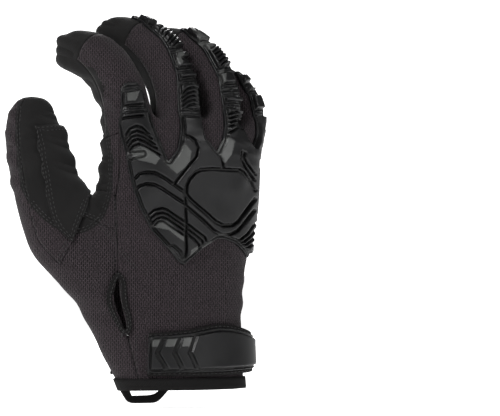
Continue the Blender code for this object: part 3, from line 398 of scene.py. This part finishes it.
guard_grooves = (
    # half width, line
    # index joint
    (0.75, ((-34.6, 162.4), (-29.1, 163.4), (-23.5, 163.7))),
    # index ribs
    (0.55, ((-33.2, 152), (-30.8, 156.1), (-27, 157.9), (-23.9, 156.8), (-19.7, 153))),
    (0.55, ((-33.2, 149.2), (-30.4, 153.7), (-26.6, 155.2), (-23.2, 154.1), (-18, 149.9))),
    (0.55, ((-33, 146.4), (-30.1, 151.3), (-26.3, 152.7), (-22.8, 151.3), (-16.3, 146.8))),
    (0.55, ((-32.5, 143.7), (-29.7, 148.5), (-25.9, 150.1), (-22.1, 148.7), (-15.2, 144.4))),
    (0.55, ((-31.5, 142), (-29.1, 145.8), (-25.6, 147.3), (-21.8, 145.8), (-13.5, 140.6))),
    # below the index
    (0.80, ((-27.3, 126.7), (-25.2, 129.2), (-21.1, 130.2),
            (-16.3, 129.9), (-10.7, 126.7), (-5.2, 122.9), (1, 118.4))),
    (0.80, ((-27, 119.8), (-24.9, 121.9), (-21.1, 123.3),
            (-16.6, 122.9), (-12.8, 120.9), (-6.6, 116.7), (0.3, 111.9))),
    # thumb side ribs
    (0.55, ((-20.8, 103.9), (-16.6, 107.7), (-12.1, 108.8), (-9.3, 107.7), (-4.5, 104.3), (0.3, 101.1))),
    (0.55, ((-19.7, 101.5), (-15.6, 105.2), (-12.1, 106), (-9.3, 105), (-5.2, 102), (0.3, 98.2))),
    (0.55, ((-18.7, 99.1), (-14.9, 102.5), (-12.1, 103.4), (-9.3, 102.2), (-5.2, 99.3), (0.3, 95.3))),
    (0.55, ((-17.3, 97.3), (-14.2, 100.6), (-11.4, 100.9), (-8, 98.4), (0.3, 92.3))),
    # upright
    (0.80, ((1.4, 119.1), (1.7, 112.2), (1.7, 105.3), (2.1, 98.4), (1.7, 91.5), (2.1, 84.6), (1.2, 74.9))),
    # middle foot ribs
    (0.55, ((3.1, 98.7), (8.6, 94.2), (13.1, 90.8), (14.5, 87), (13.8, 83.9))),
    (0.55, ((3.1, 95.6), (8, 91.8), (11.4, 88.7), (12.2, 85.2), (11.4, 82.5))),
    (0.55, ((3.1, 92.7), (6.9, 89.5), (9.5, 86.5), (10, 83), (9, 81.1))),
    # hook to the middle finger
    (0.85, ((0.3, 153), (3.8, 151.6), (7.3, 148.9), (9, 144.7),
            (8, 139.9), (4.5, 135.7), (0.3, 130.2), (-4.5, 124))),
    # eight-sided panel
    (0.95, ((42.2, 119.8), (39.8, 125.4), (36.7, 129.5), (33.5, 131.7), (24.2, 132.1), (16.3, 132.3),
            (10.7, 131.9), (7.3, 130.2), (3.8, 126), (2.1, 121.9), (1.9, 117.1), (4.5, 113.6),
            (10, 108.8), (15.6, 103.9), (19.7, 100.1), (23.9, 98), (29.4, 98.4), (32.8, 101.1),
            (36.3, 106), (42.2, 114.3))),
    # round the panel
    (0.85, ((2.4, 109.4), (7.3, 105.3), (12.8, 100.5), (18.3, 94.9),
            (22.5, 92.5), (28, 92.5), (32.2, 94.9), (36.3, 99.8), (41.8, 107.4))),
    # crotch of middle and ring
    (0.75, ((21.1, 142), (23.2, 138.5), (24.2, 132.3))),
    # outer side
    (0.70, ((34.9, 142.6), (34.6, 138.5), (36.7, 133.7), (41.8, 126))),
    (0.70, ((36.7, 142), (36.3, 139.2), (38.4, 135), (42.2, 129.5))),
    # outer foot ribs
    (0.55, ((31.8, 87.7), (37.7, 92.9), (41.1, 98), (43.6, 100.1))),
    (0.55, ((33.2, 85.9), (39.1, 91.1), (43.8, 97))),
    (0.55, ((34.6, 84.2), (40.5, 89.4), (44.1, 94.2))),
    (0.55, ((36, 82.5), (41.8, 87.7), (44.3, 91.1))),
    # middle root ribs
    (0.55, ((-0.9, 176), (2.7, 180), (6, 181.3), (7.9, 180.3), (10.3, 177))),
    (0.55, ((-0.9, 173.5), (2.7, 177.3), (6, 178.6), (7.9, 177.6), (10.6, 174.4))),
    (0.55, ((-0.6, 171.1), (3, 174.8), (6, 176.1), (8.1, 175), (10.7, 171.9))),
    (0.55, ((-0.3, 168.8), (3, 172.3), (6.1, 173.6), (8.3, 172.5), (10.9, 169.6))),
    (0.55, ((0.4, 166.4), (3.3, 169.7), (6.3, 171.1), (8.5, 170.1), (10.9, 167.3))),
    # middle joint
    (0.75, ((-2.9, 193), (1.4, 193.5), (5.3, 193.1), (8.3, 191.7))),
    # middle tip ribs
    (0.38, ((-14.1, 216.2), (-11.2, 218.5))),
    (0.38, ((-12.5, 214.3), (-8.8, 217.5))),
    (0.38, ((-10.5, 212.6), (-7.2, 215.9), (-3.9, 216.5))),
    (0.38, ((-8.7, 209.6), (-6, 213.2), (-2.9, 214.7), (-0.9, 213.9))),
    (0.38, ((-7.9, 207.6), (-4.6, 211.4), (-1.4, 212.9), (1, 211.7))),
    (0.38, ((-6.5, 205.3), (-3.2, 209.1), (0, 210.6), (3, 209.6))),
    # ring joint
    (0.75, ((25.1, 178.8), (29, 179.3), (32.3, 178.3), (35, 176.7))),
    # ring root ribs
    (0.55, ((25.4, 163.8), (29, 166.3), (31.7, 167.3), (35, 165.5))),
    (0.55, ((25.7, 161.4), (29.4, 163.8), (32, 164.9), (35, 163.2))),
    (0.55, ((25.9, 159.1), (29.4, 161.5), (32.2, 162.6), (35.1, 160.9))),
    (0.55, ((26.1, 156.9), (29.7, 159.3), (32.3, 160.3), (35.2, 158.6))),
    (0.55, ((26.3, 153.6), (29.7, 155.9), (32.7, 157.7), (35.3, 156.1))),
    # ring tip ribs
    (0.38, ((16.8, 204.9), (20.1, 207.3))),
    (0.38, ((18.2, 203), (21.5, 206.2))),
    (0.38, ((19.5, 201.4), (22.8, 204.3))),
    (0.38, ((21.1, 199.4), (23.8, 202.7), (26.1, 202))),
    (0.38, ((22.1, 197.1), (25.1, 200.4), (27.8, 199.8))),
    (0.38, ((23, 194.8), (25.9, 198.1), (29.4, 197.4))),
    (0.38, ((23.4, 192.6), (27.1, 195.9), (30.9, 194.8))),
)
guard_facets = (
    # way it falls, how far, corners
    ((0, 1), 2, ((-32.9, 178.7), (-26.5, 178.7), (-28.1, 172.6), (-32.3, 172.6))),
    ((-0.6, 0.7), 2.2, ((1.2, 147.6), (4.9, 142.7), (3.7, 135.4), (-3.7, 129.3), (-11.6, 136.6),
            (-3.7, 138.5))),
    ((-0.8, 0.5), 2.2, ((26.2, 151.9), (30.5, 148.8), (28.7, 141.5), (24.7, 136), (21.3, 143.3))),
    ((-0.5, 0.6), 1.6, ((-18.3, 97.6), (-13.4, 101.9), (-8.5, 100.6), (1.2, 91.5), (1.2, 87.8),
            (-8.5, 95.2), (-14.6, 96.4))),
    ((-0.1, 1), 2, ((-30.5, 142.7), (-23.8, 146.4), (-18.9, 144), (-13.4, 138.5), (-15.9, 134.8),
            (-26.8, 137.9))),
    ((0.3, 1), 1.3, ((-18.3, 225.1), (-5.5, 220.2), (-8.5, 217.2), (-17.1, 220.8))),
    ((0.4, 0.9), 1.3, ((7.3, 216.5), (21.3, 207.4), (17.7, 203.1), (10.4, 208.6))),
    ((-0.6, 0.8), 1.4, ((-3.7, 203.7), (0.6, 206.8), (-0.6, 195.2), (-3.7, 194))),
    ((-0.6, 0.8), 1.4, ((22.6, 192.2), (25.6, 194), (25.6, 184.2), (23.2, 183))),
    ((-0.4, 0.8), 1, ((11, 85.4), (17.1, 89.1), (19.5, 87.2), (14.6, 83))),
    ((-0.4, 0.8), 1, ((4.9, 83), (8.5, 85.4), (10.4, 83), (3.7, 78.1))),
)
guard = moulded("impact_guard", skin, low=0.0012, rise=2.9, lip=1.9,
                grooves=guard_grooves, facets=guard_facets, cad_low=3.6)
show(guard, "impact_guard_moulding", rubber, "impact_guard")

# Wrist strap: a flat woven band with soft edges, closed, from beside the slit round the outer side of the
# wrist, and sewn down at its ends.

# Woven tape: black polyester webbing, dull, with slanted ribs 0.9 mm apart that catch the light.
webbing = bpy.data.materials.new("woven_tape")
webbing.use_nodes = True
tree = webbing.node_tree
shader = tree.nodes["Principled BSDF"]
coord = add(tree, "ShaderNodeTexCoord", {})
slanted = add(tree, "ShaderNodeMapping", {
    "Vector": coord.outputs["Object"], "Rotation": (0, math.radians(35), math.radians(30)),
    "Scale": (1000, 1000, 1000)})
ribs = add(tree, "ShaderNodeTexWave", {
    "Vector": slanted.outputs[0], "Scale": 0.35, "Distortion": 0.6, "Detail": 1.0, "Detail Scale": 2.0})
tone = add(tree, "ShaderNodeMix", {
    "Factor": ribs.outputs["Fac"], "A": linear("#0b0b0b"), "B": linear("#191818")}, data_type="RGBA")
tree.links.new(tone.outputs["Result"], shader.inputs["Base Color"])
bump = add(tree, "ShaderNodeBump", {"Strength": 0.6, "Distance": 0.0002, "Height": ribs.outputs["Fac"]})
tree.links.new(bump.outputs[0], shader.inputs["Normal"])
shader.inputs["Roughness"].default_value = 0.85
shader.inputs["Specular IOR Level"].default_value = 0.1

bm = rounded(node_copy("wrist_strap"), 2)
strap = show(bm, "wrist_strap_band", webbing, "wrist_strap")
strap_tree = BVHTree.FromObject(strap, bpy.context.evaluated_depsgraph_get())

# Strap plate: a rubber plate moulded on the strap, with a raised lip, slanted grooves at its free end and a
# long flat panel that runs round the wrist.
plate_grooves = (
    # half width, line
    # plate
    (1.25, ((-9.8, 31.7), (-14.6, 21.3), (-5.5, 5.5))),
    (1.25, ((0, 31.7), (-4.3, 21.3), (3.7, 5.5))),
    (1.25, ((8.5, 31.7), (4.9, 21.3), (12.2, 5.5))),
)
plate_facets = (
    # way it falls, how far, corners
    ((0, 1), 1.1, ((-18.3, 29.9), (-11.6, 29.9), (-14, 25), (-18.3, 25))),
    ((0, 1), 1.1, ((-8.5, 29.9), (-1.8, 29.9), (-4.3, 25), (-9.8, 25))),
    ((0, 1), 1.1, ((1.2, 30.5), (6.7, 30.5), (4.9, 25), (0, 25))),
)
plate = moulded("strap_plate", strap_tree, low=0.0008, rise=1.9, lip=1.6,
                grooves=plate_grooves, facets=plate_facets, cad_low=0.9)
show(plate, "strap_plate_moulding", rubber, "strap_plate")

# Bindings: woven tape folded over the hem, and tape bound round the edge of the slit, both sewn through.
# They are soft and rounded over their edges.
for name in ("hem_tape", "slit_tape"):
    show(rounded(node_copy(name), 2), name + "_binding", webbing, name)

# Pull loop: a closed loop of narrow webbing that hangs below the hem, to pull the glove on by. Both its
# ends are sewn under its patch.
show(rounded(node_copy("pull_loop"), 2), "pull_loop_webbing", webbing, "pull_loop")

# Suede patches: flat pieces cut from suede and laid over the palm, the thumb and the wrist, each stitched
# down all round its edge.

# Synthetic suede: near black and without any shine, with the cloudy nap that the panels have.
suede = bpy.data.materials.new("synthetic_suede")
suede.use_nodes = True
tree = suede.node_tree
shader = tree.nodes["Principled BSDF"]
coord = add(tree, "ShaderNodeTexCoord", {})
tone, nap = suede_nap(tree, coord)
tree.links.new(tone.outputs["Result"], shader.inputs["Base Color"])
bump = add(tree, "ShaderNodeBump", {"Strength": 0.6, "Distance": 0.0002, "Height": nap.outputs["Fac"]})
tree.links.new(bump.outputs[0], shader.inputs["Normal"])
shader.inputs["Roughness"].default_value = 0.95
shader.inputs["Sheen Weight"].default_value = 0.04
shader.inputs["Sheen Roughness"].default_value = 0.6
shader.inputs["Specular IOR Level"].default_value = 0.08

for name in ("finger_base_patch", "thumb_patch", "pull_patch"):
    bm = rounded(node_copy(name), 2)
    bm.normal_update()
    for vert in bm.verts:
        vert.co += vert.normal * gather(vert.co, vert.normal)
    show(bm, name + "_suede", suede, name)

# Heel pads: suede sewn down over flat foam on the heel of the palm. A cloth simulation blows them up, and
# no point goes more than PAD_SWELL, in metres, from the flat shape.
PAD_SWELL, PAD_PRESSURE, PAD_TENSION, PAD_FRAMES = 0.0013, 4.0, 8.0, 14
SEWN_DOWN = 0.0012  # metres: what lies nearer the palm than this stays where it is
for name in ("outer_heel_pad", "inner_heel_pad"):
    bm = rounded(node_copy(name), 1)
    start = [v.co.copy() for v in bm.verts]
    mesh = bpy.data.meshes.new("blown")
    bm.to_mesh(mesh)
    blown = bpy.data.objects.new("blown", mesh)
    bpy.context.scene.collection.objects.link(blown)
    edge = blown.vertex_groups.new(name="edge")
    bm.normal_update()
    flat = [v.index for v in bm.verts if v.normal.dot(v.co - skin.find_nearest(v.co)[0]) < SEWN_DOWN]
    edge.add(flat, 1.0, "REPLACE")
    cloth = blown.modifiers.new("cloth", "CLOTH")
    cloth.settings.vertex_group_mass = "edge"
    cloth.settings.use_pressure = True
    cloth.settings.uniform_pressure_force = PAD_PRESSURE
    cloth.settings.effector_weights.gravity = 0.0
    cloth.settings.tension_stiffness = PAD_TENSION
    cloth.point_cache.frame_start, cloth.point_cache.frame_end = 1, PAD_FRAMES
    for step in range(1, PAD_FRAMES + 1):
        bpy.context.scene.frame_set(step)
    graph = bpy.context.evaluated_depsgraph_get()
    moved = [v.co.copy() for v in blown.evaluated_get(graph).to_mesh().vertices]
    bpy.data.objects.remove(blown, do_unlink=True)
    for vert, was, now in zip(bm.verts, start, moved):
        step = now - was
        if step.length > PAD_SWELL:
            step = step.normalized() * PAD_SWELL
        vert.co = was + step
    bm = rounded(bm, 1)
    pad = show(bm, name + "_foam", suede, name)

# Stitching: lockstitch in black thread, in double rows round the palm's patches and the thumb, and in
# single rows on the strap, the slit's binding and the lip of the guard.

# Sewing thread: spun black polyester, with little gloss.
thread = bpy.data.materials.new("sewing_thread")
thread.use_nodes = True
shader = thread.node_tree.nodes["Principled BSDF"]
shader.inputs["Base Color"].default_value = linear("#1a191a")
shader.inputs["Roughness"].default_value = 0.7


def rim_loops(bm, core):
    """The outer edge loops of a flat piece, as lists of (place, outward normal, way to the inside)."""
    links = {}
    for edge in bm.edges:
        if edge.calc_face_angle(0) < 0.7:
            continue
        middle = (edge.verts[0].co + edge.verts[1].co) / 2
        near = core(middle)
        faces = sorted(edge.link_faces, key=lambda f: -f.normal.dot((middle - near).normalized()))
        if faces[0].normal.dot((middle - near).normalized()) < 0.3:
            continue
        run = (edge.verts[1].co - edge.verts[0].co).normalized()
        inside = run.cross(faces[0].normal).normalized()
        if inside.dot(faces[0].calc_center_median() - middle) < 0:
            inside = -inside
        for vert in edge.verts:
            links.setdefault(vert, []).append((edge.other_vert(vert), faces[0].normal, inside))
    loops = []
    while links:
        vert = next(iter(links))
        loop = []
        while vert in links:
            onward = links.pop(vert)
            normal = sum((n for _, n, _ in onward), Vector()).normalized()
            inside = sum((i for _, _, i in onward), Vector()).normalized()
            loop.append((vert.co.copy(), normal, inside))
            vert = next((other for other, _, _ in onward if other in links), None)
        if len(loop) > 6:
            loops.append(loop)
    return loops


THREAD_WIDTH, THREAD_HEIGHT = 0.00026, 0.00022  # half of a stitch's, in metres


def stitch_rows(name, loops, insets, length, target):
    """Short thread stitches laid in rows inside edge loops, each row an inset in millimetres."""
    template = bmesh.new()
    bmesh.ops.create_uvsphere(template, u_segments=6, v_segments=4, radius=1.0)
    template.verts.index_update()
    shape = np.array([v.co for v in template.verts])
    sides = [[v.index for v in face.verts] for face in template.faces]
    template.free()
    places = []
    for loop in loops:
        for inset in insets:
            path = [target.find_nearest(p + i * (0.001 * inset))[0] + n * 0.00005 for p, n, i in loop]
            normals = [n for _, n, _ in loop]
            if (loop[0][0] - loop[-1][0]).length < 0.012:
                path.append(path[0])
                normals.append(normals[0])
            left = 0.0
            for (a, na), (b, nb) in zip(zip(path, normals), zip(path[1:], normals[1:])):
                run = b - a
                span = run.length
                if span < 1e-6 or span > 0.02:
                    continue
                while left < span:
                    hit = target.find_nearest(a + run * (left / span))[0]
                    along = run.normalized()
                    up = (na + nb).normalized()
                    side = up.cross(along).normalized()
                    turn = np.array((along * (0.42 * length / 1000), side * THREAD_WIDTH,
                                     along.cross(side) * THREAD_HEIGHT))
                    places.append(shape @ turn + np.array(hit + up * 0.00006))
                    left += 0.0013 * length
                left -= span
    points = np.concatenate(places)
    faces = [[i + k * len(shape) for i in side] for k in range(len(places)) for side in sides]
    mesh = bpy.data.meshes.new(name)
    mesh.from_pydata(points.tolist(), [], faces)
    bm = bmesh.new()
    bm.from_mesh(mesh)
    return show(bm, name, thread)


def hand_core(place):
    """The nearest point of a line up the middle of the hand."""
    return Vector((0, 0.004, min(max(place.z, 0), 0.15)))


def thumb_core(place):
    """The nearest point of a line up the middle of the thumb."""
    share = min(max((place.z - 0.09) / 0.08, 0), 1)
    return Vector((-0.070, 0.010, 0.09)).lerp(Vector((-0.088, 0.030, 0.17)), share)


for name, finish, core, insets, pitch in (
    ("outer_heel_pad", "foam", hand_core, (1.6, 3.6), 2.2),
    ("inner_heel_pad", "foam", hand_core, (1.6, 3.6), 2.2),
    ("finger_base_patch", "suede", hand_core, (1.4, 3.2), 2.2),
    ("pull_patch", "suede", hand_core, (1.4,), 2.2),
    ("thumb_patch", "suede", thumb_core, (1.4, 3.2), 2.2),
    ("thumb_panel", "cloth", thumb_core, (1.5, 3.4), 2.2),
    ("wrist_strap", "band", hand_core, (1.3,), 2.4),
    ("impact_guard", "moulding", hand_core, (1.15,), 1.9),
    ("slit_tape", "binding", hand_core, (0.9,), 1.8),
):
    sewn = bpy.data.objects[name + "_" + finish]
    target = BVHTree.FromObject(sewn, bpy.context.evaluated_depsgraph_get())
    source = node_copy(name)
    loops = rim_loops(source, core)
    if name == "impact_guard":
        loops = [max(loops, key=len)]
    if name == "thumb_panel":
        loops = [[p for p in loop if seen_from_back(p[0])[0] > -76] for loop in loops]
    stitch_rows(name + "_stitches", [loop for loop in loops if loop], insets, pitch, target)
    source.free()

# Seam thread on the back: a double row inside the suede's curved edge, rows along the seam down to the slit
# and below it, and a bar tack over the slit's lower end.


def laid_line(line):
    """A line in millimetres across and up the back, laid on the shell: (place, normal, way to its side)."""
    laid = []
    for (u0, z0), (u1, z1) in zip(line, line[1:]):
        steps = max(int(math.hypot(u1 - u0, z1 - z0) / 1.5), 1)
        for step in range(steps):
            u, z = u0 + (u1 - u0) * step / steps, z0 + (z1 - z0) * step / steps
            start = RIGHT * (0.001 * u) + Vector((0, 0, 0.001 * z)) - AHEAD * 0.3
            hit, normal, _, _ = skin.ray_cast(start, AHEAD)
            if hit is None:
                continue
            if normal.dot(AHEAD) > 0:
                normal = -normal
            across = (RIGHT * (z1 - z0) + Vector((0, 0, u0 - u1))) / math.hypot(u1 - u0, z1 - z0)
            laid.append((hit, normal, (across - normal * across.dot(normal)).normalized()))
    return laid


for name, line, insets, pitch in (
    ("suede_edge_stitches", rounded_line([
        (-46.4, 169.6), (-43.9, 156.2), (-41.2, 140.3), (-41.2, 119.1), (-45.3, 103.9), (-51.4, 96.9),
        (-61.4, 92.3), (-70.6, 93.8), (-80.6, 99.9), (-88.8, 108), (-95.8, 118.1), (-98.9, 134.3),
        (-99.9, 154.5), (-99.4, 169.7),
    ], False), (1.3, 3.0), 2.2),
    ("gusset_seam_stitches", [(-48.2, 98.2), (-33.6, 79.9), (-26.2, 70.8)], (-0.9, 0.9), 2.0),
    ("cuff_seam_stitches", [(-27.6, 31.0), (-27.0, 8.0)], (-0.6, -6.4), 2.0),
    ("slit_bar_tack", [(-35.8, 31.8), (-30.8, 30.6)], (-1.0, -0.5, 0.0, 0.5, 1.0), 1.6),
):
    stitch_rows(name, [laid_line(line)], insets, pitch, skin)

# Floor and backdrop: a pale sheet under the glove, and a lit white wall far round it that sends it no
# light of its own.
bm = bmesh.new()
bmesh.ops.create_grid(bm, x_segments=1, y_segments=1, size=6.0, matrix=Matrix.Translation((0, 0, -0.013)))
mesh = bpy.data.meshes.new("floor")
bm.to_mesh(mesh)
bm.free()
floor = bpy.data.objects.new("floor", mesh)
bpy.context.scene.collection.objects.link(floor)
paper = bpy.data.materials.new("white_paper")
paper.use_nodes = True
shader = paper.node_tree.nodes["Principled BSDF"]
shader.inputs["Base Color"].default_value = linear("#fdfdfd")
shader.inputs["Roughness"].default_value = 1.0
shader.inputs["Specular IOR Level"].default_value = 0.0
shader.inputs["Emission Color"].default_value = (1, 1, 1, 1)
shader.inputs["Emission Strength"].default_value = 0.88
mesh.materials.append(paper)
bm = bmesh.new()
bmesh.ops.create_cone(bm, segments=64, radius1=5.0, radius2=5.0, depth=8.0,
                      matrix=Matrix.Translation((0, 0, 3.9)))
mesh = bpy.data.meshes.new("backdrop")
bm.to_mesh(mesh)
bm.free()
backdrop = bpy.data.objects.new("backdrop", mesh)
bpy.context.scene.collection.objects.link(backdrop)
backdrop.visible_diffuse = backdrop.visible_glossy = backdrop.visible_shadow = False
glow = bpy.data.materials.new("lit_backdrop")
glow.use_nodes = True
shader = glow.node_tree.nodes["Principled BSDF"]
shader.inputs["Base Color"].default_value = linear("#fdfdfd")
shader.inputs["Specular IOR Level"].default_value = 0.0
shader.inputs["Emission Color"].default_value = (1, 1, 1, 1)
shader.inputs["Emission Strength"].default_value = 1.0
mesh.materials.append(glow)
world = bpy.data.worlds.new("studio")
bpy.context.scene.world = world
world.use_nodes = True
world.node_tree.nodes["Background"].inputs["Color"].default_value = (1, 1, 1, 1)
world.node_tree.nodes["Background"].inputs["Strength"].default_value = 0.16

# Light: a soft box high on the left in front of the glove, a weaker one low on the right, and a broad one
# on the palm's side.
for name, place, aim, size, power in (
    ("key", (-0.95, -0.42, 1.05), (0.0, 0.0, 0.12), 0.36, 17.0),
    ("fill", (0.60, -1.25, 0.60), (0.0, 0.0, 0.12), 0.45, 4.5),
    ("palm_side", (0.55, 1.20, 0.75), (0.0, 0.0, 0.12), 0.60, 16.0),
):
    lamp = bpy.data.lights.new(name, "AREA")
    lamp.shape = "DISK"
    lamp.size = size
    lamp.energy = power
    light = bpy.data.objects.new(name, lamp)
    light.location = place
    light.rotation_euler = (Vector(aim) - Vector(place)).to_track_quat("-Z", "Y").to_euler()
    bpy.context.scene.collection.objects.link(light)

# Camera: level and far off, square to the back of the hand, with the glove in the left half of the picture.
turn = math.radians(-30)
right, ahead = Vector((math.cos(turn), math.sin(turn), 0)), Vector((-math.sin(turn), math.cos(turn), 0))
distance, view_width = 2.6, 0.305
lens = bpy.data.cameras.new("camera")
lens.sensor_width = 36.0
lens.lens = lens.sensor_width * distance / view_width
camera = bpy.data.objects.new("camera", lens)
camera.location = right * 0.0415 + Vector((0, 0, 0.1086)) - ahead * distance
camera.rotation_euler = ahead.to_track_quat("-Z", "Y").to_euler()
bpy.context.scene.collection.objects.link(camera)
bpy.context.scene.camera = camera
bpy.context.scene.view_settings.view_transform = "Standard"
